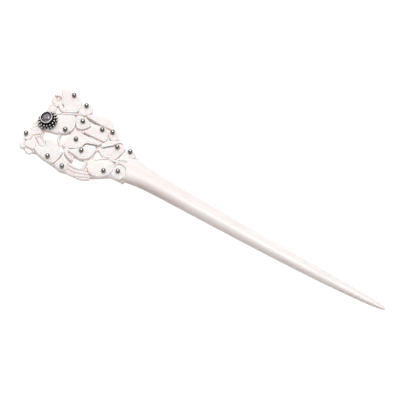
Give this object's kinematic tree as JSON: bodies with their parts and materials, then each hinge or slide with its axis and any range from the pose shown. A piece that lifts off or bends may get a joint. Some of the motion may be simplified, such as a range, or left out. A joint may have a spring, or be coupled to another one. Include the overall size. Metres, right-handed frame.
{
  "type": "hair stick",
  "caption": "Long tapered bone hair stick with a flat openwork head of carved butterflies, silver ball studs and a silver rosette holding a faceted stone.",
  "frame": {"origin": "on the flat back, under the middle of the pin's length and width", "axes": "+X along the pin from the carved head to the tip, +Y across the head, +Z out of the carved front"},
  "size_m": [0.18, 0.0356, 0.0088],
  "materials": {
    "bone": "polished, creamy with a faint pink cast and a fine lengthwise grain",
    "silver": "polished, slightly tarnished",
    "oxidised_silver": "blackened in the recesses",
    "lilac_stone": "faceted, polished"
  },
  "bodies": {
    "root": {"bone_pin": "bone", "ball_stud_01": "silver", "ball_stud_02": "silver", "ball_stud_03": "silver", "ball_stud_04": "silver", "ball_stud_05": "silver", "ball_stud_06": "silver", "ball_stud_07": "silver", "ball_stud_08": "silver", "ball_stud_09": "silver", "ball_stud_10": "silver", "ball_stud_11": "silver", "ball_stud_12": "silver", "ball_stud_13": "silver", "ball_stud_14": "silver", "ball_stud_15": "silver", "rosette_plate": "oxidised_silver", "rosette_post": "silver", "rosette_dome": "oxidised_silver", "granules_outer": "silver", "granules_inner": "silver", "bezel_cup": "silver", "stone": "lilac_stone"}
  },
  "joints": []
}
